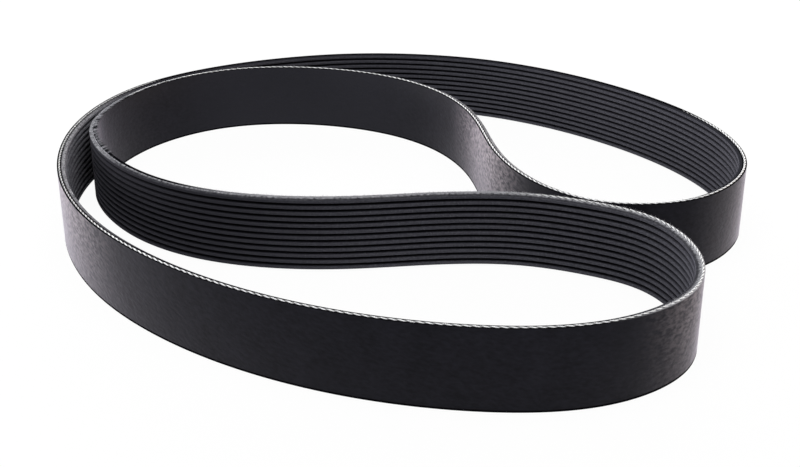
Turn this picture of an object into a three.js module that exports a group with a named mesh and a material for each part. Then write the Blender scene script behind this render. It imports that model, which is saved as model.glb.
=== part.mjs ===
// Serpentine belt: an endless ribbed drive belt, moulded in one piece and set down on its cut edge.
// It lies in a loose double loop: the smooth back is outside, the ribs are inside.
// Millimetres, +Z up. The origin is on the ground, under the middle of the belt's outline.

import * as THREE from "three";

// Section of the belt.
const RIB_COUNT = 12;
const RIB_PITCH = 3.56; // from one rib to the next, the standard pitch of a car's ribbed belt
const THICKNESS = 4.5; // from the smooth back to the flat top of a rib
const RIB_HEIGHT = 2.4; // from the floor of a groove to the flat top of a rib
const RIB_ANGLE = 40; // degrees between the two flanks of one rib
const GROOVE_FLOOR = 0.3; // width of the flat floor between two ribs
const BACK_CHAMFER = 0.2; // trimmed corner between the smooth back and a cut edge

// Space left between stretches that lie against each other.
const NEST_GAP = 0.8; // rib tops of the outer bend to rib tops of the inner bend, at the closest
const BACK_GAP = 0.9; // smooth back to smooth back, where the two right-hand lobes meet

// How far the inner bend stands off the outer one, before and after the closest place.
const NEST_ENTRY_GAP = 2.2;
const NEST_EXIT_GAP = 3;

// The path of the smooth back seen from above, x to the right and y away from the viewer.
// It is followed from the far left, down the left side and along the front.
const OUTER_BEND = [[-79, 203], [-133, 177.5], [-176.5, 136], [-199, 81], [-202.5, 21]];
const FRONT_STRAND = [[-188, -43], [-152.5, -107], [-95.5, -162], [-26, -198.5], [43, -212.5]];
const FRONT_LOBE = [[98, -205], [136.5, -174.5], [146.5, -131], [133, -92.5], [104, -71]];
const INNER_STRAND = [[64, -57.5], [15, -57.5], [-40, -63], [-100, -54], [-150, -21.5], [-182, 29]];
const UPPER_STRAND = [[-70, 176], [-14.5, 158], [25, 120.5], [45.5, 69], [54.5, 10], [73, -40.5]];
const FAR_LOBE = [[141, -73.5], [173, -57.5], [199, -15.5], [198, 44]];
const FAR_STRAND = [[168, 107], [114, 165], [49, 202], [-20, 213]];

// How finely the belt is cut into flat facets.
const STATION_COUNT = 96; // cross-sections round the belt
const BEND_SAMPLES = 1536; // places where the bend is measured before the stations are shared out
const STRAIGHTEST_RADIUS = 400; // a stretch straighter than this gets no fewer stations

const RUBBER = new THREE.MeshStandardMaterial({ color: 0x242429, roughness: 0.6, metalness: 0 });

// The point that lies a distance to the left of b, for someone who walks from a through b to c.
function leftOf([a, b, c], distance) {
  const heading = Math.atan2(c[1] - a[1], c[0] - a[0]);
  return [b[0] - distance * Math.sin(heading), b[1] + distance * Math.cos(heading)];
}

// The inner bend follows the outer one, rib tops facing rib tops across the gap, the other way round.
function innerBendPoints() {
  const gaps = [NEST_EXIT_GAP, NEST_GAP, NEST_ENTRY_GAP];
  return gaps.map((gap, i) => leftOf(OUTER_BEND.slice(i, i + 3), 2 * THICKNESS + gap)).reverse();
}

// The place where the far lobe's back comes to lie against the front lobe's back.
function touchPoint() {
  const meeting = [FRONT_LOBE.at(-2), FRONT_LOBE.at(-1), INNER_STRAND[0]];
  return leftOf(meeting, -BACK_GAP);
}

function pathPoints() {
  const points = [
    ...OUTER_BEND, ...FRONT_STRAND, ...FRONT_LOBE, ...INNER_STRAND, ...innerBendPoints(),
    ...UPPER_STRAND, touchPoint(), ...FAR_LOBE, ...FAR_STRAND,
  ];
  return points.map(([x, y]) => new THREE.Vector3(x, y, 0));
}

// A closed cubic spline through the given points, whose bend changes without a jump.
class LoopSpline extends THREE.Curve {
  constructor(points) {
    super();
    this.poles = LoopSpline.polesThrough(points);
  }

  // Each point is a sixth of its two neighbour poles and two thirds of its own: this settles the poles.
  static polesThrough(points) {
    const rounds = 60;
    const poles = points.map((p) => p.clone());
    for (let round = 0; round < rounds; round++) {
      poles.forEach((pole, i) => {
        const before = poles.at(i - 1);
        const after = poles[(i + 1) % poles.length];
        pole.copy(points[i]).multiplyScalar(6).sub(before).sub(after).divideScalar(4);
      });
    }
    return poles;
  }

  // The sum of the four poles round t, with the weights that a function of the place between two gives.
  blend(t, weightsAt, target) {
    const count = this.poles.length;
    const along = t * count;
    const first = Math.floor(along);
    target.set(0, 0, 0);
    weightsAt(along - first).forEach((weight, k) => {
      target.addScaledVector(this.poles[(first + k - 1 + count) % count], weight);
    });
    return target;
  }

  getPoint(t, target = new THREE.Vector3()) {
    const weights = (u) => [
      (1 - u) ** 3 / 6, (3 * u ** 3 - 6 * u ** 2 + 4) / 6,
      (-3 * u ** 3 + 3 * u ** 2 + 3 * u + 1) / 6, u ** 3 / 6,
    ];
    return this.blend(t, weights, target);
  }

  getTangent(t, target = new THREE.Vector3()) {
    const slopes = (u) => [
      -((1 - u) ** 2) / 2, (3 * u ** 2 - 4 * u) / 2, (-3 * u ** 2 + 2 * u + 1) / 2, u ** 2 / 2,
    ];
    return this.blend(t, slopes, target).normalize();
  }
}

// Places along the path for the cross-sections. A chord strays from an arc by its length squared over
// eight radii, so a stretch gets stations by the square root of its bend, and all facets stray alike.
function stationPlaces(path) {
  const places = Array.from({ length: BEND_SAMPLES + 1 }, (_, i) => i / BEND_SAMPLES);
  const shares = [0];
  for (let i = 0; i < BEND_SAMPLES; i++) {
    const length = path.getPoint(places[i]).distanceTo(path.getPoint(places[i + 1]));
    const turn = path.getTangent(places[i]).angleTo(path.getTangent(places[i + 1]));
    const bend = Math.max(turn / length, 1 / STRAIGHTEST_RADIUS);
    shares.push(shares[i] + length * Math.sqrt(bend));
  }
  const total = shares[BEND_SAMPLES];
  let next = 0;
  return Array.from({ length: STATION_COUNT }, (_, station) => {
    while (shares[next + 1] < (station / STATION_COUNT) * total) next++;
    const step = (station / STATION_COUNT) * total - shares[next];
    return (next + step / (shares[next + 1] - shares[next])) / BEND_SAMPLES;
  });
}

// Outline of the section as [depth from the smooth back, height above the ground] pairs.
function sectionOutline() {
  const width = RIB_COUNT * RIB_PITCH;
  const floorDepth = THICKNESS - RIB_HEIGHT;
  const flankRise = RIB_HEIGHT * Math.tan(THREE.MathUtils.degToRad(RIB_ANGLE / 2));
  const outline = [[0, width - BACK_CHAMFER], [0, BACK_CHAMFER], [BACK_CHAMFER, 0], [floorDepth, 0]];
  for (let rib = 0; rib < RIB_COUNT; rib++) {
    const low = rib * RIB_PITCH + GROOVE_FLOOR / 2;
    const high = (rib + 1) * RIB_PITCH - GROOVE_FLOOR / 2;
    outline.push([floorDepth, low], [THICKNESS, low + flankRise]);
    outline.push([THICKNESS, high - flankRise], [floorDepth, high]);
  }
  outline.push([floorDepth, width], [BACK_CHAMFER, width]);
  return outline;
}

// The shift that brings the middle of the belt's outline over the origin.
function centring(path, places) {
  const box = new THREE.Box3().setFromPoints(places.map((t) => path.getPoint(t)));
  return box.getCenter(new THREE.Vector3()).negate();
}

// The section carried round the path, each corner at its own depth to the left of the smooth back.
function beltGeometry() {
  const path = new LoopSpline(pathPoints());
  const places = stationPlaces(path);
  const shift = centring(path, places);
  const outline = sectionOutline();
  const corners = outline.length;

  const positions = places.flatMap((t) => {
    const back = path.getPoint(t).add(shift);
    const along = path.getTangent(t);
    return outline.flatMap(([depth, height]) => [back.x - along.y * depth, back.y + along.x * depth, height]);
  });

  const faces = [];
  for (let station = 0; station < places.length; station++) {
    const here = station * corners;
    const there = ((station + 1) % places.length) * corners;
    for (let corner = 0; corner < corners; corner++) {
      const next = (corner + 1) % corners;
      faces.push(here + corner, here + next, there + next, here + corner, there + next, there + corner);
    }
  }

  const geometry = new THREE.BufferGeometry();
  geometry.setAttribute("position", new THREE.Float32BufferAttribute(positions, 3));
  geometry.setIndex(faces);
  geometry.computeVertexNormals();
  return geometry;
}

const belt = new THREE.Mesh(beltGeometry(), RUBBER);
belt.name = "serpentine_belt";

const part = new THREE.Group();
part.add(belt);

export default part;
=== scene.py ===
"""Serpentine belt: an endless ribbed rubber drive belt, standing on its cut edge in a pale studio.

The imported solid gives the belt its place. This script sweeps a finer belt of the same sizes along the
same path, with rounded ribs, the twisted cords that the slitting knife laid bare and the frayed fibres
of the edge, and dresses each of them. Everything is in metres, +Z up, with the origin on the ground
under the middle of the loop.
"""

import logging
import math
from dataclasses import dataclass
from enum import Enum

import bpy
import numpy as np
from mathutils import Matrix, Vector


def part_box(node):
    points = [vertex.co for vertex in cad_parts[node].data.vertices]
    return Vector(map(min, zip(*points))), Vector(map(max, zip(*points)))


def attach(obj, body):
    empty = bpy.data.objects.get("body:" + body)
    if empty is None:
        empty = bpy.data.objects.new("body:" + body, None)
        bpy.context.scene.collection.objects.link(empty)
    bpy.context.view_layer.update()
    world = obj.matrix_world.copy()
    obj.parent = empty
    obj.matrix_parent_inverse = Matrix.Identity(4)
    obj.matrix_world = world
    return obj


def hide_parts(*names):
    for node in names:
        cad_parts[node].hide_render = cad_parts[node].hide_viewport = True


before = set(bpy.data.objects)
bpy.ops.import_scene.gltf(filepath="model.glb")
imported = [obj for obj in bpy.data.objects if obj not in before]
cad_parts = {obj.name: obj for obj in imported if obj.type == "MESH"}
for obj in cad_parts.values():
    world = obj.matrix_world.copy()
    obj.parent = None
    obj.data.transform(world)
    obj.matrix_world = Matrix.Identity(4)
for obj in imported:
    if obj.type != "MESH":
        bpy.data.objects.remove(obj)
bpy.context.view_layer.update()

logging.basicConfig(level=logging.INFO, format="%(message)s")
log = logging.getLogger("belt")

Point = tuple[float, float]
Place = tuple[float, float, float]
Colour = tuple[float, float, float, float]
Tree = bpy.types.NodeTree
Socket = bpy.types.NodeSocket

MM = 0.001
UP = (0.0, 0.0, 1.0)
WHITE = "#ffffff"
CAD_NODE = "serpentine_belt"
CAD_BODY = "root"

# The belt is about 2.25 m long. Laid out as a ring it has this radius, near enough for a pattern's slant.
RING_RADIUS = 2.25 / math.tau

# This keeps a fibre that points straight up from having no side.
NEARLY_NOTHING = 1e-9

# The mix node has the same names for its numbers and its colours, so these sockets are reached by place.
NUMBER_A, NUMBER_B = 2, 3
COLOUR_A, COLOUR_B, MIXED_COLOUR = 6, 7, 2


def linear(code: str) -> Colour:
    """Turns an sRGB hex colour into the linear numbers that a shader takes.

    Args:
        code: Six hex digits after a hash sign.

    Returns:
        Red, green, blue and an alpha of 1.
    """
    parts = [int(code[i : i + 2], 16) / 255 for i in (1, 3, 5)]
    light = [p / 12.92 if p <= 0.04045 else ((p + 0.055) / 1.055) ** 2.4 for p in parts]
    return (light[0], light[1], light[2], 1.0)


def add_node(
    tree: Tree, kind: str, inputs: dict[str | int, object] | None = None, **settings: object
) -> bpy.types.Node:
    """Adds one node to a tree, with its settings and its links.

    Args:
        tree: The tree that the node goes into.
        kind: Blender's name for the type of node.
        inputs: For each input, by name or number, either a value or the output that feeds it.
        **settings: The node's own properties.

    Returns:
        The new node.
    """
    node = tree.nodes.new(kind)
    for name, value in settings.items():
        setattr(node, name, value)
    for key, value in (inputs or {}).items():
        if isinstance(value, Socket):
            tree.links.new(value, node.inputs[key])
        else:
            node.inputs[key].default_value = value
    return node


# The path and the section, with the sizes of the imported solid


@dataclass(frozen=True)
class LoopPath:
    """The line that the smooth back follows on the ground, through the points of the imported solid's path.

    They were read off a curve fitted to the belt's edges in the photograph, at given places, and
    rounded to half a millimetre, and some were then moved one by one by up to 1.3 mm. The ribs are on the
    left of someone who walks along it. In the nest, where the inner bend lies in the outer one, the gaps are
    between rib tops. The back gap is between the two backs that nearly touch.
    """

    thickness: float
    nest_gap: float = 0.8 * MM
    nest_entry_gap: float = 2.2 * MM
    nest_exit_gap: float = 3.0 * MM
    back_gap: float = 0.9 * MM
    samples_per_span: int = 48
    outer_bend: tuple[Point, ...] = (
        (-0.079, 0.203), (-0.133, 0.1775), (-0.1765, 0.136), (-0.199, 0.081), (-0.2025, 0.021),
    )
    front_strand: tuple[Point, ...] = (
        (-0.188, -0.043), (-0.1525, -0.107), (-0.0955, -0.162), (-0.026, -0.1985), (0.043, -0.2125),
    )
    front_lobe: tuple[Point, ...] = (
        (0.098, -0.205), (0.1365, -0.1745), (0.1465, -0.131), (0.133, -0.0925), (0.104, -0.071),
    )
    inner_strand: tuple[Point, ...] = (
        (0.064, -0.0575), (0.015, -0.0575), (-0.04, -0.063), (-0.1, -0.054), (-0.15, -0.0215),
        (-0.182, 0.029),
    )
    upper_strand: tuple[Point, ...] = (
        (-0.07, 0.176), (-0.0145, 0.158), (0.025, 0.1205), (0.0455, 0.069), (0.0545, 0.01), (0.073, -0.0405),
    )
    far_lobe: tuple[Point, ...] = ((0.141, -0.0735), (0.173, -0.0575), (0.199, -0.0155), (0.198, 0.044))
    far_strand: tuple[Point, ...] = ((0.168, 0.107), (0.114, 0.165), (0.049, 0.202), (-0.02, 0.213))

    @staticmethod
    def left_of(walk: tuple[Point, ...], distance: float) -> Point:
        """Finds the point beside the middle one of three.

        Args:
            walk: Three points in a row.
            distance: How far the new point lies to the left.

        Returns:
            The new point.
        """
        (ax, ay), (bx, by), (cx, cy) = walk
        heading = math.atan2(cy - ay, cx - ax)
        return (bx - distance * math.sin(heading), by + distance * math.cos(heading))

    def points(self) -> np.ndarray:
        """Lists the points of the closed path.

        The inner bend follows the outer one, rib tops facing rib tops, the other way round.

        Returns:
            The points, one row each.
        """
        gaps = (self.nest_exit_gap, self.nest_gap, self.nest_entry_gap)
        inner_bend = [
            self.left_of(self.outer_bend[i : i + 3], 2 * self.thickness + gap) for i, gap in enumerate(gaps)
        ]
        meeting = (self.front_lobe[-2], self.front_lobe[-1], self.inner_strand[0])
        touch = self.left_of(meeting, -self.back_gap)
        return np.array([
            *self.outer_bend, *self.front_strand, *self.front_lobe, *self.inner_strand,
            *reversed(inner_bend), *self.upper_strand, touch, *self.far_lobe, *self.far_strand,
        ])

    def poles(self) -> np.ndarray:
        """Finds the spline's poles.

        Returns:
            A pole for each point, which is two thirds of its own pole and a sixth of each neighbour.
        """
        points = self.points()
        own = np.eye(len(points))
        blend = (4 * own + np.roll(own, 1, axis=1) + np.roll(own, -1, axis=1)) / 6
        return np.linalg.solve(blend, points)

    def follow(self, places: np.ndarray) -> tuple[np.ndarray, np.ndarray]:
        """Follows the spline.

        Args:
            places: Numbers from 0 to the count of points, where a whole number is a point.

        Returns:
            The place and the unit direction of travel at each.
        """
        poles = self.poles()
        first = np.floor(places).astype(int)
        u = places - first
        shares = np.array([(1 - u) ** 3, 3 * u**3 - 6 * u**2 + 4, -3 * u**3 + 3 * u**2 + 3 * u + 1, u**3]) / 6
        slopes = np.array([-((1 - u) ** 2), 3 * u**2 - 4 * u, -3 * u**2 + 2 * u + 1, u**2]) / 2
        near = poles[(first + np.arange(-1, 3)[:, None]) % len(poles)]
        heading = (slopes[..., None] * near).sum(axis=0)
        return (shares[..., None] * near).sum(axis=0), heading / np.linalg.norm(heading, axis=1)[:, None]

    def walk(self, count: int, middle: Point) -> "Walk":
        """Shares out places round the path at even steps.

        Args:
            count: How many places.
            middle: Where the middle of the loop's outline comes to lie.

        Returns:
            The places, as arrays.
        """
        spans = len(self.points())
        dense = np.linspace(0, spans, spans * self.samples_per_span + 1)
        track, _ = self.follow(dense)
        steps = np.linalg.norm(np.diff(track, axis=0), axis=1)
        run = np.concatenate([[0.0], np.cumsum(steps)])
        wanted = np.arange(count) / count * run[-1]
        back, along = self.follow(np.interp(wanted, run, dense))
        shift = np.array(middle) - (track.min(axis=0) + track.max(axis=0)) / 2
        return Walk(back + shift, along, wanted, float(run[-1]))


@dataclass(frozen=True)
class Walk:
    """Places at even steps round the belt: the smooth back, the direction of travel and the way so far."""

    back: np.ndarray
    along: np.ndarray
    run: np.ndarray
    length: float

    @property
    def inward(self) -> np.ndarray:
        """The unit direction from the smooth back to the ribs at each place."""
        return np.stack([-self.along[:, 1], self.along[:, 0]], axis=1)

    def place(self, depth: np.ndarray, height: np.ndarray) -> np.ndarray:
        """Carries a section round the belt.

        Args:
            depth: Distances in from the smooth back, one row for each place or one row for all.
            height: Heights above the ground, in the same shape.

        Returns:
            A point for each place and each corner of the section.
        """
        depth, height = np.broadcast_arrays(depth, height)
        shape = (len(self.back), depth.shape[-1])
        flat = self.back[:, None, :] + self.inward[:, None, :] * np.broadcast_to(depth, shape)[..., None]
        return np.concatenate([flat, np.broadcast_to(height, shape)[..., None]], axis=2)

    def ring(self, depth: np.ndarray, height: np.ndarray) -> np.ndarray:
        """Gives the same points on the belt laid out as one round ring, where patterns have no seam.

        Args:
            depth: As for place.
            height: As for place.

        Returns:
            A point for each place and each corner of the section.
        """
        depth, height = np.broadcast_arrays(depth, height)
        shape = (len(self.back), depth.shape[-1])
        turn = (self.run / self.length * math.tau)[:, None]
        radius = self.length / math.tau - np.broadcast_to(depth, shape)
        across = np.broadcast_to(height, shape)
        return np.stack([radius * np.cos(turn), radius * np.sin(turn), across], axis=2)


@dataclass(frozen=True)
class Stretch:
    """A stretch of the belt's run, in shares of its length, with soft ends and a strength.

    One that crosses the start of the run is written twice, past the end and before the start.
    """

    start: float
    end: float
    fade: float
    level: float = 1.0

    def share(self, walk: Walk) -> np.ndarray:
        """Works out how far each place lies inside the stretch.

        Args:
            walk: The places.

        Returns:
            A number for each place, from 0 outside to the stretch's own level inside.
        """
        place = walk.run / walk.length
        near = np.clip(np.minimum(place - self.start, self.end - place) / self.fade, 0, 1)
        return self.level * near**2 * (3 - 2 * near)


def most(stretches: tuple[Stretch, ...], walk: Walk) -> np.ndarray:
    """How far each place lies inside any of some stretches, from 0 to 1."""
    return np.max([stretch.share(walk) for stretch in stretches], axis=0)


# Gum still covers the cord on the inner strand and in the inner bend, and on the far strand. In the outer
# bend the cord is sunk part way and darkened part way, the darkening painted shade against the light there.
GUMMED_AND_SHADED_CORD = (
    Stretch(0.38, 0.56, 0.02), Stretch(0.84, 1.1, 0.03), Stretch(-0.1, 0.06, 0.02),
    Stretch(0.0, 0.19, 0.05, 0.45),
)

# In the outer bend, the inner bend and the S-curve the knife tore the flank below the gum. There its pale
# colour is also a painted highlight for the light that grazes the flank.
TORN_AND_LIT_FLANK = (Stretch(0.05, 0.185, 0.05), Stretch(0.49, 0.58, 0.02), Stretch(0.62, 0.8, 0.06))

# From the front lobe to the inner bend it frayed the whole edge, and the tips of the ribs least.
FRAYED_EDGE = (Stretch(0.29, 0.6, 0.05),)

# From the front lobe to the far end of the inner strand that edge is pale with down up to the back.
DOWNY_EDGE = (Stretch(0.29, 0.478, 0.025),)

# Cut ends of the cover's yarn stand out round the inner bend.
YARN_ENDS = (Stretch(0.5, 0.58, 0.012),)

# Inside the inner loop the back is painted lighter, painted light for the light that falls on it, and the
# ribs of the inner bend are painted darker, painted shade from the outer bend around them.
PAINTED_LIGHT_BACK = (Stretch(0.56, 0.67, 0.04),)
PAINTED_SHADE_RIBS = (Stretch(0.42, 0.6, 0.05),)

# In the outer bend the lands of the ribs are painted paler: a painted highlight for the light that grazes
# them.
PAINTED_HIGHLIGHT_RIBS = (Stretch(0.05, 0.18, 0.03),)

# Where the back is bent most, fine lilac mottles are painted where its sheen is brightest: a painted
# highlight.
PAINTED_SHEEN_BACK = (
    Stretch(0.09, 0.18, 0.04, 0.85), Stretch(0.297, 0.37, 0.025, 0.45), Stretch(0.672, 0.742, 0.03, 1.0),
    Stretch(0.797, 0.88, 0.03, 0.8),
)

# On the front strand and on the upper strand the bared cord lies closer to the back.
CORD_NEAR_BACK = (Stretch(0.15, 0.37, 0.05), Stretch(0.56, 0.7, 0.04))


class Mark(Enum):
    """What shows on some stretches of the belt only, by the name under which its vertices store it."""

    # Torn stretches, whose pale is partly a painted highlight at the bends.
    TORN_AND_LIT = "torn"
    FRAYED = "frayed"
    DOWNY = "downy"
    PAINTED_SHEEN = "painted_sheen"
    PAINTED_LIGHT = "painted_light"
    PAINTED_SHADE = "painted_shade"
    PAINTED_HIGHLIGHT = "painted_highlight"


class Zone(Enum):
    """The surfaces of the belt's skin, in the order of its material slots."""

    BACK = 0
    CUT = 1
    FRAYED = 2
    RIB = 3


@dataclass(frozen=True)
class Corner:
    """One corner of the section: its place, how far it is rounded off, and the surface that follows it."""

    depth: float
    height: float
    zone: Zone
    rounding: float = 0.0


@dataclass(frozen=True)
class Section:
    """The belt's cross-section. Depth is measured from the smooth back, height from the ground.

    The rib angle is in degrees. The black strip along the bottom of the back, in the cut edge's finish, is
    painted shadow along the ground, and the cover is the rubber between the back and the bed of the cord.
    """

    rib_count: int = 12
    rib_pitch: float = 3.56 * MM
    thickness: float = 4.5 * MM
    rib_height: float = 2.4 * MM
    rib_angle: float = 40.0
    groove_floor: float = 0.3 * MM
    back_rounding: float = 0.4 * MM
    shadow_lip: float = 1.3 * MM
    tip_rounding: float = 0.2 * MM
    cord_depth: float = 1.25 * MM
    cover: float = 0.74 * MM
    bed_depth: float = 0.4 * MM
    bed_slant: float = 0.1 * MM
    rounding_steps: int = 2

    @property
    def width(self) -> float:
        """From one cut edge to the other."""
        return self.rib_count * self.rib_pitch

    @property
    def floor_depth(self) -> float:
        """From the smooth back to the floor of a groove."""
        return self.thickness - self.rib_height

    @property
    def flank_slope(self) -> float:
        """How far a flank runs across the belt for each unit of depth."""
        return math.tan(math.radians(self.rib_angle / 2))

    def edge_drop(self, depth: np.ndarray) -> np.ndarray:
        """How far the belt's outline at some depths lies inside its cut edge."""
        down_flank = self.groove_floor / 2 + (depth - self.floor_depth) * self.flank_slope
        return np.where(depth > self.floor_depth, down_flank, 0.0)

    def bed(self) -> list[Point]:
        """The channel of the bared cord, as pairs of depth and distance into the cut edge."""
        return [
            (self.cover, 0.0), (self.cover + self.bed_slant, self.bed_depth),
            (self.floor_depth - self.bed_slant, self.bed_depth),
        ]

    def corners(self) -> list[Corner]:
        """Lists the corners, down the smooth back, in along the ground, up the ribs and out again.

        Returns:
            The corners, in that order.
        """
        rise = self.rib_height * self.flank_slope
        found = [
            Corner(0.0, self.width, Zone.BACK, self.back_rounding),
            # A black strip of the cut edge's finish runs up the bottom of the back: painted shadow along the
            # ground.
            Corner(0.0, self.shadow_lip, Zone.CUT),
            Corner(0.0, 0.0, Zone.CUT, self.back_rounding),
        ]
        found += [Corner(depth, inset, Zone.CUT) for depth, inset in self.bed()]
        for rib in range(self.rib_count):
            low = rib * self.rib_pitch + self.groove_floor / 2
            high = (rib + 1) * self.rib_pitch - self.groove_floor / 2
            lower = Zone.FRAYED if rib == 0 else Zone.RIB
            upper = Zone.FRAYED if rib == self.rib_count - 1 else Zone.RIB
            found.append(Corner(self.floor_depth, low, lower))
            found.append(Corner(self.thickness, low + rise, Zone.RIB, self.tip_rounding))
            found.append(Corner(self.thickness, high - rise, upper, self.tip_rounding))
            found.append(Corner(self.floor_depth, high, Zone.RIB if upper is Zone.RIB else Zone.CUT))
        found += [Corner(depth, self.width - inset, Zone.CUT) for depth, inset in reversed(self.bed())]
        return found

    def outline(self) -> tuple[np.ndarray, np.ndarray, list[Zone]]:
        """Rounds the corners off.

        Returns:
            The depths, the heights, and the surface that starts at each point.
        """
        corners = self.corners()
        depths: list[float] = []
        heights: list[float] = []
        zones: list[Zone] = []
        for i, corner in enumerate(corners):
            here = np.array([corner.depth, corner.height])
            ways = []
            for other in (corners[i - 1], corners[(i + 1) % len(corners)]):
                way = np.array([other.depth, other.height]) - here
                ways.append(here + way / np.linalg.norm(way) * corner.rounding)
            steps = self.rounding_steps if corner.rounding else 0
            for t in np.linspace(0, 1, steps + 1) if steps else [1.0]:
                spot = (1 - t) ** 2 * ways[0] + 2 * t * (1 - t) * here + t**2 * ways[1]
                depths.append(float(spot[0]))
                heights.append(float(spot[1]))
                own = t == 1.0 or corner.zone is Zone.CUT
                zones.append(corner.zone if own else corners[i - 1].zone)
        return np.array(depths), np.array(heights), zones

    def proud(self, depth: np.ndarray) -> np.ndarray:
        """How far points stand out of the grooves, from 0 on the floor to 1 on a rib's flat top."""
        return np.clip((depth - self.floor_depth) / self.rib_height, 0, 1)


# Patterns and finishes


@dataclass(frozen=True)
class Grain:
    """A cloudy pattern on the belt, by the size of one cloud along the run and across the width.

    The slant is in degrees. A contrast of 1 leaves the noise as it is.
    """

    along: float
    across: float
    detail: float = 2.0
    contrast: float = 2.0
    slant: float = 0.0

    def add_to(self, tree: Tree) -> Socket:
        """Adds the pattern.

        Args:
            tree: The material's tree.

        Returns:
            The output that carries it, from 0 to 1 with 0.5 in the middle.
        """
        ring = add_node(tree, "ShaderNodeAttribute", attribute_name="ring").outputs["Vector"]
        if self.slant:
            height = add_node(tree, "ShaderNodeSeparateXYZ", {0: ring}).outputs["Z"]
            lean = math.tan(math.radians(self.slant)) / RING_RADIUS
            turn = add_node(tree, "ShaderNodeMath", {0: height, 1: lean}, operation="MULTIPLY").outputs[0]
            ring = add_node(
                tree, "ShaderNodeVectorRotate", {"Vector": ring, "Angle": turn}, rotation_type="Z_AXIS"
            ).outputs[0]
        clouds = (1 / self.along, 1 / self.along, 1 / self.across)
        sized = add_node(tree, "ShaderNodeVectorMath", {0: ring, 1: clouds}, operation="MULTIPLY").outputs[0]
        noise = add_node(
            tree, "ShaderNodeTexNoise", {"Vector": sized, "Scale": 1.0, "Detail": self.detail}
        ).outputs["Fac"]
        reach = 0.5 / self.contrast
        return add_node(
            tree, "ShaderNodeMapRange", {"Value": noise, "From Min": 0.5 - reach, "From Max": 0.5 + reach}
        ).outputs[0]


@dataclass(frozen=True)
class Layer:
    """A tone that lies over part of a finish: on marked stretches, in the clouds of a pattern, or on both."""

    tone: str
    mark: Mark | None = None
    grain: Grain | None = None
    start: float = 0.0

    def mask(self, tree: Tree) -> Socket:
        """Finds where the layer shows.

        Args:
            tree: The material's tree.

        Returns:
            The output that carries it, from 0 to 1.
        """
        shares = []
        if self.mark:
            there = add_node(tree, "ShaderNodeAttribute", attribute_name=self.mark.value)
            shares.append(there.outputs["Fac"])
        if self.grain:
            clouds = {"Value": self.grain.add_to(tree), "From Min": self.start}
            shares.append(add_node(tree, "ShaderNodeMapRange", clouds).outputs[0])
        if len(shares) == 1:
            return shares[0]
        return add_node(tree, "ShaderNodeMath", dict(enumerate(shares)), operation="MULTIPLY").outputs[0]


@dataclass(frozen=True)
class Finish:
    """What every finish of the belt has: a dark and a light tone, a roughness, a relief, and any layers."""

    name: str
    dark: str
    light: str
    roughness: tuple[float, float]
    grain: Grain
    relief: float
    specular: float = 0.5
    sheen: float = 0.0
    sheen_roughness: float = 0.5
    sheen_tint: str = WHITE
    cloud: Grain | None = None
    cloud_share: float = 0.35
    layers: tuple[Layer, ...] = ()

    def make(self) -> bpy.types.Material:
        """Makes the material.

        Returns:
            The material, with its nodes linked.
        """
        material = bpy.data.materials.new(self.name)
        material.use_nodes = True
        tree = material.node_tree
        shader = tree.nodes["Principled BSDF"].inputs
        shader["Specular IOR Level"].default_value = self.specular
        shader["Sheen Weight"].default_value = self.sheen
        shader["Sheen Roughness"].default_value = self.sheen_roughness
        shader["Sheen Tint"].default_value = linear(self.sheen_tint)
        relief = self.grain.add_to(tree)
        tone = relief
        if self.cloud:
            cloud = self.cloud.add_to(tree)
            tone = add_node(
                tree, "ShaderNodeMix", {"Factor": self.cloud_share, NUMBER_A: relief, NUMBER_B: cloud},
                data_type="FLOAT",
            ).outputs[0]
        smoothest, roughest = self.roughness
        rough = add_node(
            tree, "ShaderNodeMapRange", {"Value": tone, "To Min": roughest, "To Max": smoothest}
        ).outputs[0]
        bump = add_node(
            tree, "ShaderNodeBump", {"Height": relief, "Distance": self.relief, "Strength": 1.0}
        ).outputs[0]
        tree.links.new(self.colour(tree, tone), shader["Base Color"])
        tree.links.new(rough, shader["Roughness"])
        tree.links.new(bump, shader["Normal"])
        return material

    def colour(self, tree: Tree, tone: Socket) -> Socket:
        """Mixes the two tones and lays the layers over them.

        Args:
            tree: The material's tree.
            tone: How much of the light tone shows, from 0 to 1.

        Returns:
            The colour of the whole surface.
        """
        colour = linear(self.dark)
        shares = [(tone, self.light)] + [(layer.mask(tree), layer.tone) for layer in self.layers]
        for share, shade in shares:
            colour = add_node(
                tree, "ShaderNodeMix", {"Factor": share, COLOUR_A: colour, COLOUR_B: linear(shade)},
                data_type="RGBA",
            ).outputs[MIXED_COLOUR]
        return self.tint(tree, colour)

    def tint(self, tree: Tree, colour: Socket | Colour) -> Socket | Colour:
        """Leaves the colour as it is. A finish with more to say changes it here."""
        return colour


@dataclass(frozen=True)
class RibFinish(Finish):
    """Ground rubber, with painted shade low in its grooves."""

    shade_and_gum: str = "#040405"
    shade_and_gum_start: float = 0.0
    shade_and_gum_reach: float = 0.55

    def tint(self, tree: Tree, colour: Socket | Colour) -> Socket:
        """Paints shade into the bottom of the grooves.

        Args:
            tree: The material's tree.
            colour: The colour of the flat top of a rib.

        Returns:
            The colour of the whole rib.
        """
        proud = add_node(tree, "ShaderNodeAttribute", attribute_name="proud").outputs["Fac"]
        share = add_node(
            tree, "ShaderNodeMapRange",
            {"Value": proud, "From Min": self.shade_and_gum_start, "From Max": self.shade_and_gum_reach},
            interpolation_type="SMOOTHSTEP",
        ).outputs[0]
        return add_node(
            tree, "ShaderNodeMix", {"Factor": share, COLOUR_A: linear(self.shade_and_gum), COLOUR_B: colour},
            data_type="RGBA",
        ).outputs[MIXED_COLOUR]


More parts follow.
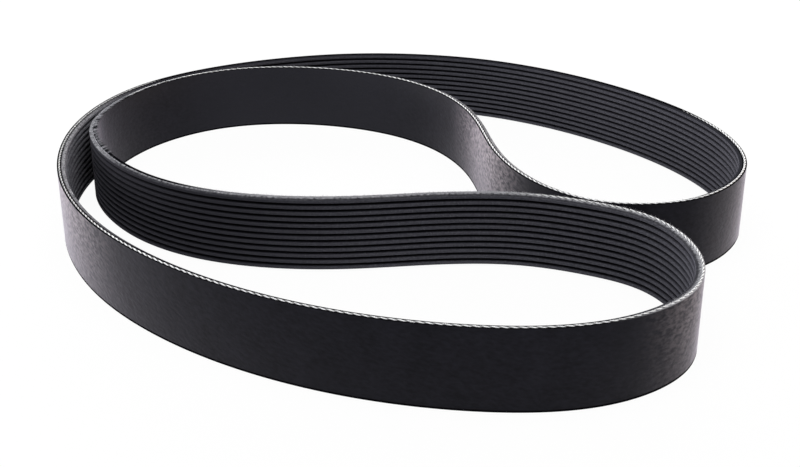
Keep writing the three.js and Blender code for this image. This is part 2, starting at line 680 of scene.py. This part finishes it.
@dataclass(frozen=True)
class FlankFinish(RibFinish):
    """The outer flank of an edge rib, pale only where the knife tore or frayed it, and where torn at the
    bends partly a painted highlight.
    """

    whole: str = "#2c2c31"
    torn_share: float = 0.75
    fray_reach: float = 0.5
    tip_share: float = 0.08

    def tint(self, tree: Tree, colour: Socket | Colour) -> Socket:
        """Keeps the torn colour to the stretches that the knife spoiled.

        Where the flank is torn, a black line of gum stays along the cord, and the torn pale is partly a
        painted highlight. Where it is frayed, it is palest along the cord and darker towards the rib's tip.

        Args:
            tree: The material's tree.
            colour: The colour of torn rubber.

        Returns:
            The colour of the flank.
        """
        proud = add_node(tree, "ShaderNodeAttribute", attribute_name="proud").outputs["Fac"]
        past_gum = add_node(
            tree, "ShaderNodeMapRange",
            {"Value": proud, "From Max": self.shade_and_gum_reach, "To Max": self.torn_share},
            interpolation_type="SMOOTHSTEP",
        ).outputs[0]
        towards_tip = add_node(
            tree, "ShaderNodeMapRange",
            {"Value": proud, "From Max": self.fray_reach, "To Min": 1.0, "To Max": self.tip_share},
        ).outputs[0]
        shares = []
        # The pale of the torn stretches is partly the torn fibres and partly a painted highlight at the
        # bends.
        for mark, reach in ((Mark.TORN_AND_LIT, past_gum), (Mark.FRAYED, towards_tip)):
            there = add_node(tree, "ShaderNodeAttribute", attribute_name=mark.value).outputs["Fac"]
            share = add_node(tree, "ShaderNodeMath", {0: there, 1: reach}, operation="MULTIPLY")
            shares.append(share.outputs[0])
        spoiled = add_node(tree, "ShaderNodeMath", dict(enumerate(shares)), operation="MAXIMUM").outputs[0]
        # At its foot the flank takes the same dark as the grooves: the black gum along the cord, with painted
        # shade.
        whole = super().tint(tree, linear(self.whole))
        return add_node(
            tree, "ShaderNodeMix", {"Factor": spoiled, COLOUR_A: whole, COLOUR_B: colour}, data_type="RGBA"
        ).outputs[MIXED_COLOUR]


@dataclass(frozen=True)
class CordFinish(Finish):
    """A twisted cord, whose lay is filled with gum between the strands."""

    gum: str = "#1a1a1c"

    def tint(self, tree: Tree, colour: Socket | Colour) -> Socket:
        """Darkens the lay between the strands.

        Args:
            tree: The material's tree.
            colour: The colour of the yarn.

        Returns:
            The colour of the cord.
        """
        crest = add_node(tree, "ShaderNodeAttribute", attribute_name="crest").outputs["Fac"]
        return add_node(
            tree, "ShaderNodeMix", {"Factor": crest, COLOUR_A: linear(self.gum), COLOUR_B: colour},
            data_type="RGBA",
        ).outputs[MIXED_COLOUR]


# EPDM rubber cured against a textile mould wrap: satin, nearly black, with a lilac sheen, as of dust, where
# it is seen at a slant. At the bends pale lilac mottles with a leathery look are painted where that sheen is
# brightest, a painted highlight, and inside the inner loop the back is painted lighter, painted light. The
# wrap's threads, about
# 0.6 mm apart, are too fine to show, so its creases of 2 to 3 mm stand for them.
BACK_COVER = Finish(
    name="back_cover_epdm_textile_cured",
    dark="#101015", light="#202028", roughness=(0.4, 0.55),
    grain=Grain(along=3.2 * MM, across=1.8 * MM, detail=3.0, slant=25), relief=0.08 * MM,
    specular=0.08, sheen=1.0, sheen_roughness=0.31, sheen_tint="#e3dcea",
    cloud=Grain(along=14 * MM, across=22 * MM),
    layers=(
        # Painted light: inside the inner loop the back is lifted to this paler tone.
        Layer("#2e2e34", Mark.PAINTED_LIGHT),
        # Painted highlight: pale lilac mottles where the back's sheen is brightest at the bends.
        Layer("#b0a5aa", Mark.PAINTED_SHEEN, Grain(3.4 * MM, 1.7 * MM, detail=4.0, contrast=3.6, slant=20)),
    ),
)

# EPDM rubber slit by a wet knife: black, close and dead matt, with the knife's marks along the cut.
# The same finish makes the black strip along the bottom of the back, painted shadow along the ground.
CUT_EDGE = Finish(
    name="cut_edge_epdm_knife_slit",
    dark="#09090b", light="#18181c", roughness=(0.6, 0.75),
    grain=Grain(along=0.8 * MM, across=0.3 * MM), relief=0.03 * MM, specular=0.0,
    layers=(Layer("#a6a6ab", Mark.DOWNY),),
)

# The outer flank of an edge rib, where the knife tore the chopped fibres loose: pale, mottled and dry. The
# fibres are about 0.02 mm thick, so the mottle shows their bunches, which are as long as a fibre.
# Where torn at the bends its pale is also a painted highlight for the light that grazes the flank.
FRAYED_FLANK = FlankFinish(
    name="frayed_flank_epdm_chopped_fibre",
    dark="#3c3c41", light="#c8c8ce", roughness=(0.85, 0.95),
    grain=Grain(along=1.6 * MM, across=0.9 * MM, detail=3.0, contrast=2.4), relief=0.05 * MM,
    specular=0.0, shade_and_gum_reach=0.45,
)

# EPDM rubber filled with chopped fibre and ground to ribs: matt charcoal, with fine speckle and a few
# pale fibre ends. The grinding grit is about 0.1 mm, and the speckle is drawn some ten times coarser to show.
GROUND_RIBS = RibFinish(
    name="ribs_epdm_fibre_filled_ground",
    dark="#3c3c42", light="#5a5a62", roughness=(0.62, 0.78),
    grain=Grain(along=1.4 * MM, across=0.9 * MM, detail=3.0, contrast=1.5), relief=0.008 * MM,
    # Low in the grooves the ribs are painted dark: painted shade.
    specular=0.0, sheen=0.09, sheen_tint="#d6cfdc", shade_and_gum="#1a1a1f", shade_and_gum_start=0.25, shade_and_gum_reach=0.95,
    layers=(
        Layer("#5c5c62", grain=Grain(1.1 * MM, 0.8 * MM, detail=0.0), start=0.9),
        # Painted shade: the ribs of the inner bend, inside the outer bend, are darker.
        Layer("#39393f", Mark.PAINTED_SHADE),
        # Painted highlight: paler mottled lands on the ribs of the outer bend.
        Layer("#8e8e94", Mark.PAINTED_HIGHLIGHT, Grain(2.4 * MM, 0.9 * MM)),
    ),
)

# The finish of each surface of the skin.
SKIN = {Zone.BACK: BACK_COVER, Zone.CUT: CUT_EDGE, Zone.FRAYED: FRAYED_FLANK, Zone.RIB: GROUND_RIBS}

# Polyester tensile cord, twisted and dipped: off-white yarn with dark gum in its lay. The yarn's filaments
# are about 0.02 mm thick, so its streaks are drawn coarser.
TENSILE_CORD = CordFinish(
    name="tensile_cord_polyester_twisted",
    dark="#eef0f4", light=WHITE, roughness=(0.4, 0.55),
    grain=Grain(along=2.5 * MM, across=0.5 * MM, contrast=2.4), relief=0.01 * MM,
    sheen=0.4, sheen_roughness=0.4,
)

# Loose ends of chopped cotton and aramid fibre: grey, dry and dull. Each fibre has one tone, and the
# pattern's size is how far apart along the belt the tones differ.
LOOSE_FIBRE = Finish(
    name="loose_fibre_chopped_cotton",
    dark="#77777b", light="#c4c4c8", roughness=(0.8, 0.9),
    grain=Grain(along=3 * MM, across=3 * MM), relief=0.01 * MM, specular=0.2,
)

# Down that the knife combed out of the cover's cloth: pale grey, and soft against the light.
COTTON_DOWN = Finish(
    name="cotton_down_combed_out",
    dark="#8c8c90", light="#e4e4e8", roughness=(0.8, 0.9),
    grain=Grain(along=3 * MM, across=3 * MM), relief=0.01 * MM, specular=0.2,
)

# Ends of the cover's cotton yarn, cut across: stiff tufts, most of them black with gum and some grey.
YARN_END = Finish(
    name="yarn_ends_cotton_cut",
    dark="#17171a", light="#38383d", roughness=(0.8, 0.9),
    grain=Grain(along=0.7 * MM, across=0.7 * MM, detail=0.0, contrast=4.0), relief=0.01 * MM, specular=0.0,
    layers=(Layer("#9a9aa0", grain=Grain(0.5 * MM, 0.5 * MM, detail=0.0, contrast=4.0), start=0.45),),
)


# Pieces


def skin(rings: int, corners: int) -> np.ndarray:
    """Joins rings of corners into a closed tube that closes on itself.

    Args:
        rings: How many rings follow each other.
        corners: How many corners each ring has.

    Returns:
        Four corner numbers for each face, with the face looking out.
    """
    ring = np.arange(rings)[:, None] * corners
    after = np.roll(np.arange(rings), -1)[:, None] * corners
    corner = np.arange(corners)[None, :]
    beside = np.roll(np.arange(corners), -1)[None, :]
    return np.stack([ring + corner, ring + beside, after + beside, after + corner], axis=2).reshape(-1, 4)


def new_piece(name: str, points: np.ndarray, faces: np.ndarray, finishes: list[Finish]) -> bpy.types.Object:
    """Makes an object that rides on the belt's body, with a material made from each of its finishes.

    Args:
        name: The piece's name.
        points: Its vertices.
        faces: Vertex numbers for each face.
        finishes: One finish for each of its material slots.

    Returns:
        The object.
    """
    mesh = bpy.data.meshes.new(name)
    mesh.from_pydata(points.reshape(-1, 3).tolist(), [], faces.tolist())
    for finish in finishes:
        mesh.materials.append(finish.make())
    mesh.shade_smooth()
    piece = bpy.data.objects.new(name, mesh)
    bpy.context.scene.collection.objects.link(piece)
    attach(piece, CAD_BODY)
    return piece


def add_field(piece: bpy.types.Object, name: str, values: np.ndarray) -> None:
    """Stores a number or a place on each vertex for a material to read.

    Args:
        piece: The object.
        name: The name that the material asks for.
        values: The numbers, or the places with their three numbers last.
    """
    is_place = values.ndim == 3
    stored = piece.data.attributes.new(name, "FLOAT_VECTOR" if is_place else "FLOAT", "POINT")
    stored.data.foreach_set("vector" if is_place else "value", values.ravel())


@dataclass
class BeltPiece:
    """What each piece of the belt follows: the path, the section, and where the loop's middle lies."""

    path: LoopPath
    section: Section
    middle: Point

    def build(self) -> bpy.types.Object:
        """Makes the piece. Each kind of piece has its own way."""
        raise NotImplementedError


@dataclass
class BeltBody(BeltPiece):
    """The rubber belt itself: smooth back, cut edges and ground ribs.

    Faces that meet at more than the crease angle, in degrees, keep a sharp edge. The painted sheen highlight
    is weakest along the bottom of the back, where only this share of it is left.
    """

    stations: int = 840
    crease_angle: float = 38.0
    painted_sheen_low: float = 0.25

    def build(self) -> bpy.types.Object:
        """Sweeps the section round the path and dresses each surface.

        Returns:
            The belt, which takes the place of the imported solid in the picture.
        """
        walk = self.path.walk(self.stations, self.middle)
        depths, heights, zones = self.section.outline()
        faces = skin(self.stations, len(depths))
        piece = new_piece("belt_body", walk.place(depths, heights), faces, [SKIN[zone] for zone in Zone])
        add_field(piece, "ring", walk.ring(depths, heights))
        add_field(piece, "proud", np.tile(self.section.proud(depths), self.stations))
        upper = np.where(heights > self.section.width / 2, 1.0, 0.0)
        # The painted sheen highlight grows from the bottom of the back to its top.
        rising = self.painted_sheen_low + (1 - self.painted_sheen_low) * heights / self.section.width
        all_round = np.ones(len(heights))
        marks = (
            (Mark.TORN_AND_LIT, TORN_AND_LIT_FLANK, upper), (Mark.FRAYED, FRAYED_EDGE, upper),
            (Mark.DOWNY, DOWNY_EDGE, upper), (Mark.PAINTED_SHEEN, PAINTED_SHEEN_BACK, rising),
            (Mark.PAINTED_LIGHT, PAINTED_LIGHT_BACK, all_round), (Mark.PAINTED_SHADE, PAINTED_SHADE_RIBS, all_round),
            (Mark.PAINTED_HIGHLIGHT, PAINTED_HIGHLIGHT_RIBS, all_round),
        )
        for mark, stretches, share in marks:
            add_field(piece, mark.value, np.outer(most(stretches, walk), share))
        strips = np.tile([zone.value for zone in zones], self.stations)
        piece.data.polygons.foreach_set("material_index", strips)
        piece.data.set_sharp_from_angle(angle=math.radians(self.crease_angle))
        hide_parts(CAD_NODE)
        return piece


class Edge(Enum):
    """The two cut edges of the belt."""

    TOP = "top"
    BOTTOM = "bottom"


@dataclass
class EdgeCord(BeltPiece):
    """The twisted cord that lies bare in a cut edge.

    The strand relief is a share of the radius. The sink is how far the upper cord's middle lies below the
    edge, and the gummed sink is how much deeper it lies under gum. The drift is how far the cord moves
    towards the back on some stretches.
    """

    edge: Edge
    radius: float = 0.5 * MM
    strands: int = 2
    strand_relief: float = 0.25
    bump_length: float = 4.1 * MM
    rings_per_bump: int = 9
    sides_per_strand: int = 6
    sink: float = 0.2 * MM
    gummed_sink: float = 0.95 * MM
    drift: float = 0.35 * MM
    gum_between: float = 0.4

    def build(self) -> bpy.types.Object:
        """Winds the strands round each other along the edge.

        Returns:
            The cord.
        """
        bumps = round(self.path.walk(1, self.middle).length / self.bump_length)
        bumps -= bumps % self.strands
        rings = bumps * self.rings_per_bump
        walk = self.path.walk(rings, self.middle)
        sides = self.strands * self.sides_per_strand
        around = np.arange(sides) / sides * math.tau
        lobes = 2 * np.abs(np.cos(self.strands * around / 2)) - 1
        twist = np.arange(rings)[:, None] / rings * math.tau * bumps / self.strands
        reach = self.radius * (1 + self.strand_relief * lobes)
        drift = self.drift * most(CORD_NEAR_BACK, walk)[:, None]
        gummed = most(GUMMED_AND_SHADED_CORD, walk)[:, None]
        depth = self.section.cord_depth - drift + reach * np.cos(around + twist)
        height = self.level(gummed) + reach * np.sin(around + twist)
        name = f"edge_cord_{self.edge.value}"
        piece = new_piece(name, walk.place(depth, height), skin(rings, sides), [TENSILE_CORD])
        add_field(piece, "ring", walk.ring(depth, height))
        # Where gummed the cord takes the gum's colour; in the outer bend that darkening is painted shade.
        add_field(piece, "crest", np.clip(self.gum_between + lobes, 0, 1) * (1 - gummed))
        return piece

    def level(self, gummed: np.ndarray) -> np.ndarray | float:
        """Finds how high the cord's middle lies.

        Args:
            gummed: How far the upper cord is sunk in gum at each place, from 0 to 1.

        Returns:
            The height at each place, or one height for the lower cord, which just touches the ground.
        """
        if self.edge is Edge.TOP:
            return self.section.width - self.sink - self.gummed_sink * gummed
        return self.radius * (1 + self.strand_relief)


@dataclass(frozen=True)
class Fibre:
    """A kind of loose fibre on the upper cut edge: where it grows, and how long and how thick it is.

    Nearest and furthest are measured from the smooth back. Lean is how far it points to the ribs and rise
    how far up, spread is how much these vary, curl is how far its tip bends aside, as a share of its
    length, and waist is how thick it is half way up, as a share of its foot.
    """

    name: str
    stretches: tuple[Stretch, ...]
    finish: Finish
    seed: int
    places: int
    nearest: float
    furthest: float
    shortest: float
    longest: float
    lean: float
    rise: float
    spread: float
    thickness: float = 0.1 * MM
    curl: float = 0.25
    waist: float = 0.8


# Chopped fibre stands out of the torn flank, near the tip of the edge rib. Here and below the fibres are
# drawn several times thicker than real ones, which are too fine to show.
FLANK_FUZZ = Fibre(
    name="flank_fuzz", stretches=TORN_AND_LIT_FLANK, finish=LOOSE_FIBRE, seed=11, places=9000,
    nearest=3.0 * MM, furthest=4.3 * MM, shortest=0.3 * MM, longest=0.8 * MM,
    lean=0.2, rise=0.9, spread=0.5,
)

# Down stands on the edge between the back and the ribs.
EDGE_DOWN = Fibre(
    name="edge_down", stretches=DOWNY_EDGE, finish=COTTON_DOWN, seed=13, places=18000,
    nearest=0.2 * MM, furthest=2.4 * MM, shortest=0.3 * MM, longest=1.1 * MM,
    lean=-0.15, rise=0.9, spread=0.5,
)

# Yarn ends lie across the edge and reach over the back's corner.
YARN_TUFTS = Fibre(
    name="yarn_ends", stretches=YARN_ENDS, finish=YARN_END, seed=12, places=4500,
    nearest=1.2 * MM, furthest=1.8 * MM, shortest=2.0 * MM, longest=3.4 * MM,
    lean=-1.0, rise=0.2, spread=0.06, thickness=0.34 * MM, curl=0.05,
)

# A fibre's faces, by the numbers of its points: three at the foot, three half way up and the tip.
SPIKE_FACES = np.array([
    (0, 2, 1), (0, 1, 3), (1, 4, 3), (1, 2, 4), (2, 5, 4),
    (2, 0, 5), (0, 3, 5), (3, 4, 6), (4, 5, 6), (5, 3, 6),
])


@dataclass
class EdgeFibres(BeltPiece):
    """Loose fibres of one kind, each a thin bent spike."""

    kind: Fibre

    def build(self) -> bpy.types.Object:
        """Scatters the fibres over their stretches.

        Returns:
            All fibres of the kind, as one object.
        """
        kind = self.kind
        draw = np.random.default_rng(kind.seed)
        walk = self.path.walk(kind.places, self.middle)
        depth = draw.uniform(kind.nearest, kind.furthest, kind.places)
        height = self.section.width - self.section.edge_drop(depth)
        root = walk.place(depth[:, None], height[:, None])[:, 0]
        aim = np.concatenate([walk.inward * kind.lean, np.full((kind.places, 1), kind.rise)], axis=1)
        aim += draw.normal(0, kind.spread, (kind.places, 3))
        aim /= np.linalg.norm(aim, axis=1)[:, None]
        length = draw.uniform(kind.shortest, kind.longest, kind.places)[:, None]
        bend = draw.normal(0, kind.curl, (kind.places, 3)) * length
        kept = draw.random(kind.places) < most(kind.stretches, walk)
        spikes = self.spikes(root[kept], aim[kept], length[kept], bend[kept])
        corners = spikes.shape[1]
        faces = (np.arange(len(spikes))[:, None, None] * corners + SPIKE_FACES).reshape(-1, 3)
        piece = new_piece(kind.name, spikes, faces, [kind.finish])
        # With one place for all its points, a fibre has one tone.
        add_field(piece, "ring", np.repeat(root[kept][:, None], corners, axis=1))
        return piece

    def spikes(self, root: np.ndarray, aim: np.ndarray, length: np.ndarray, bend: np.ndarray) -> np.ndarray:
        """Shapes the fibres: a triangle sunk in the rubber, a smaller one half way up, and the tip.

        Args:
            root: Where each fibre leaves the rubber.
            aim: The unit direction in which it starts.
            length: How long it is.
            bend: How far its tip is bent aside.

        Returns:
            Seven points for each fibre.
        """
        thickness = self.kind.thickness
        side = np.cross(aim, UP) + NEARLY_NOTHING
        side /= np.linalg.norm(side, axis=1)[:, None]
        other = np.cross(aim, side)
        turns = np.arange(3) / 3 * math.tau
        around = [(side * math.cos(turn) + other * math.sin(turn)) * thickness / 2 for turn in turns]
        foot = [root - aim * thickness + reach for reach in around]
        half = [root + aim * length / 2 + reach * self.kind.waist for reach in around]
        return np.stack([*foot, *half, root + aim * length + bend], axis=1)


# Studio


@dataclass(frozen=True)
class Softbox:
    """A rectangular studio lamp that faces a point on the ground."""

    name: str
    place: Place
    aim: Place
    width: float
    height: float
    radiance: float
    tone: str = WHITE

    def build(self) -> None:
        """Makes the lamp. Its power follows from how bright its face is, where 1 is white."""
        lamp = bpy.data.lights.new(self.name, "AREA")
        lamp.color = linear(self.tone)[:3]
        lamp.shape = "RECTANGLE"
        lamp.size = self.width
        lamp.size_y = self.height
        lamp.energy = self.radiance * math.pi * self.width * self.height
        holder = bpy.data.objects.new(self.name, lamp)
        holder.location = self.place
        holder.rotation_euler = (Vector(self.aim) - Vector(self.place)).to_track_quat("-Z", "Y").to_euler()
        bpy.context.scene.collection.objects.link(holder)


@dataclass(frozen=True)
class Studio:
    """White floor, soft lamps and the photograph's camera, whose pitch is in degrees down from level."""

    floor_half: float = 6.0
    floor_glow: float = 0.95
    world_level: float = 0.17
    lens_mm: float = 57.35
    sensor_mm: float = 36.0
    camera_place: Place = (0.0006, -0.6982, 0.3048)
    camera_pitch: float = 24.107
    lamps: tuple[Softbox, ...] = (
        Softbox("overhead", (0.0, -0.35, 1.3), (0.0, -0.05, 0.0), width=1.5, height=1.0, radiance=2.9),
        Softbox("left", (-1.3, 0.5, 0.33), (-0.1, 0.0, 0.0), width=1.1, height=0.5, radiance=8.2),
        Softbox(
            "right", (1.3, 0.45, 0.33), (0.1, 0.0, 0.0), width=1.0, height=0.5, radiance=5.6, tone="#fff0e2"
        ),
        Softbox("back", (0.0, 1.5, 0.65), (0.0, 0.0, 0.0), width=2.6, height=0.6, radiance=5.0),
    )

    def floor(self) -> None:
        """Makes the floor. It glows white for the lens and for reflections, and keeps a faint shadow."""
        half = self.floor_half
        mesh = bpy.data.meshes.new("floor")
        corners = [(-half, -half, 0), (half, -half, 0), (half, half, 0), (-half, half, 0)]
        mesh.from_pydata(corners, [], [(0, 1, 2, 3)])
        material = bpy.data.materials.new("floor_paper_matt")
        material.use_nodes = True
        tree = material.node_tree
        tree.nodes.remove(tree.nodes["Principled BSDF"])
        rays = add_node(tree, "ShaderNodeLightPath").outputs
        seen = add_node(
            tree, "ShaderNodeMath", {0: rays["Is Camera Ray"], 1: rays["Is Glossy Ray"]}, operation="MAXIMUM"
        ).outputs[0]
        share = add_node(
            tree, "ShaderNodeMath", {0: seen, 1: self.floor_glow}, operation="MULTIPLY"
        ).outputs[0]
        paper = add_node(tree, "ShaderNodeBsdfDiffuse", {"Color": linear(WHITE)}).outputs[0]
        glow = add_node(tree, "ShaderNodeEmission", {"Color": linear(WHITE), "Strength": 1.0}).outputs[0]
        mixed = add_node(tree, "ShaderNodeMixShader", {0: share, 1: paper, 2: glow}).outputs[0]
        tree.links.new(mixed, tree.nodes["Material Output"].inputs["Surface"])
        mesh.materials.append(material)
        ground = bpy.data.objects.new("floor", mesh)
        bpy.context.scene.collection.objects.link(ground)

    def world(self) -> None:
        """Lights all sides evenly, and shows white to the lens."""
        world = bpy.data.worlds.new("studio")
        bpy.context.scene.world = world
        world.use_nodes = True
        tree = world.node_tree
        rays = add_node(tree, "ShaderNodeLightPath").outputs
        level = add_node(
            tree, "ShaderNodeMapRange", {"Value": rays["Is Camera Ray"], "To Min": self.world_level}
        ).outputs[0]
        background = tree.nodes["Background"].inputs
        tree.links.new(level, background["Strength"])
        background["Color"].default_value = linear(WHITE)

    def camera(self) -> None:
        """Puts the camera where the photograph's stood."""
        camera = bpy.data.cameras.new("camera")
        camera.lens = self.lens_mm
        camera.sensor_width = self.sensor_mm
        holder = bpy.data.objects.new("camera", camera)
        holder.location = self.camera_place
        holder.rotation_euler = (math.radians(90 - self.camera_pitch), 0.0, 0.0)
        bpy.context.scene.collection.objects.link(holder)
        bpy.context.scene.camera = holder

    def build(self) -> None:
        """Makes the whole studio."""
        self.camera()
        self.floor()
        self.world()
        for lamp in self.lamps:
            lamp.build()
        bpy.context.scene.view_settings.view_transform = "Standard"


def main() -> None:
    """Builds the belt and the studio."""
    low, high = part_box(CAD_NODE)
    middle = ((low.x + high.x) / 2, (low.y + high.y) / 2)
    section = Section()
    path = LoopPath(section.thickness)
    makers: list[BeltPiece] = [BeltBody(path, section, middle)]
    makers += [EdgeCord(path, section, middle, edge) for edge in Edge]
    makers += [EdgeFibres(path, section, middle, kind) for kind in (FLANK_FUZZ, EDGE_DOWN, YARN_TUFTS)]
    for maker in makers:
        piece = maker.build()
        piece.data.calc_loop_triangles()
        log.info("%s: %d triangles", piece.name, len(piece.data.loop_triangles))
    Studio().build()


if __name__ == "__main__":
    main()
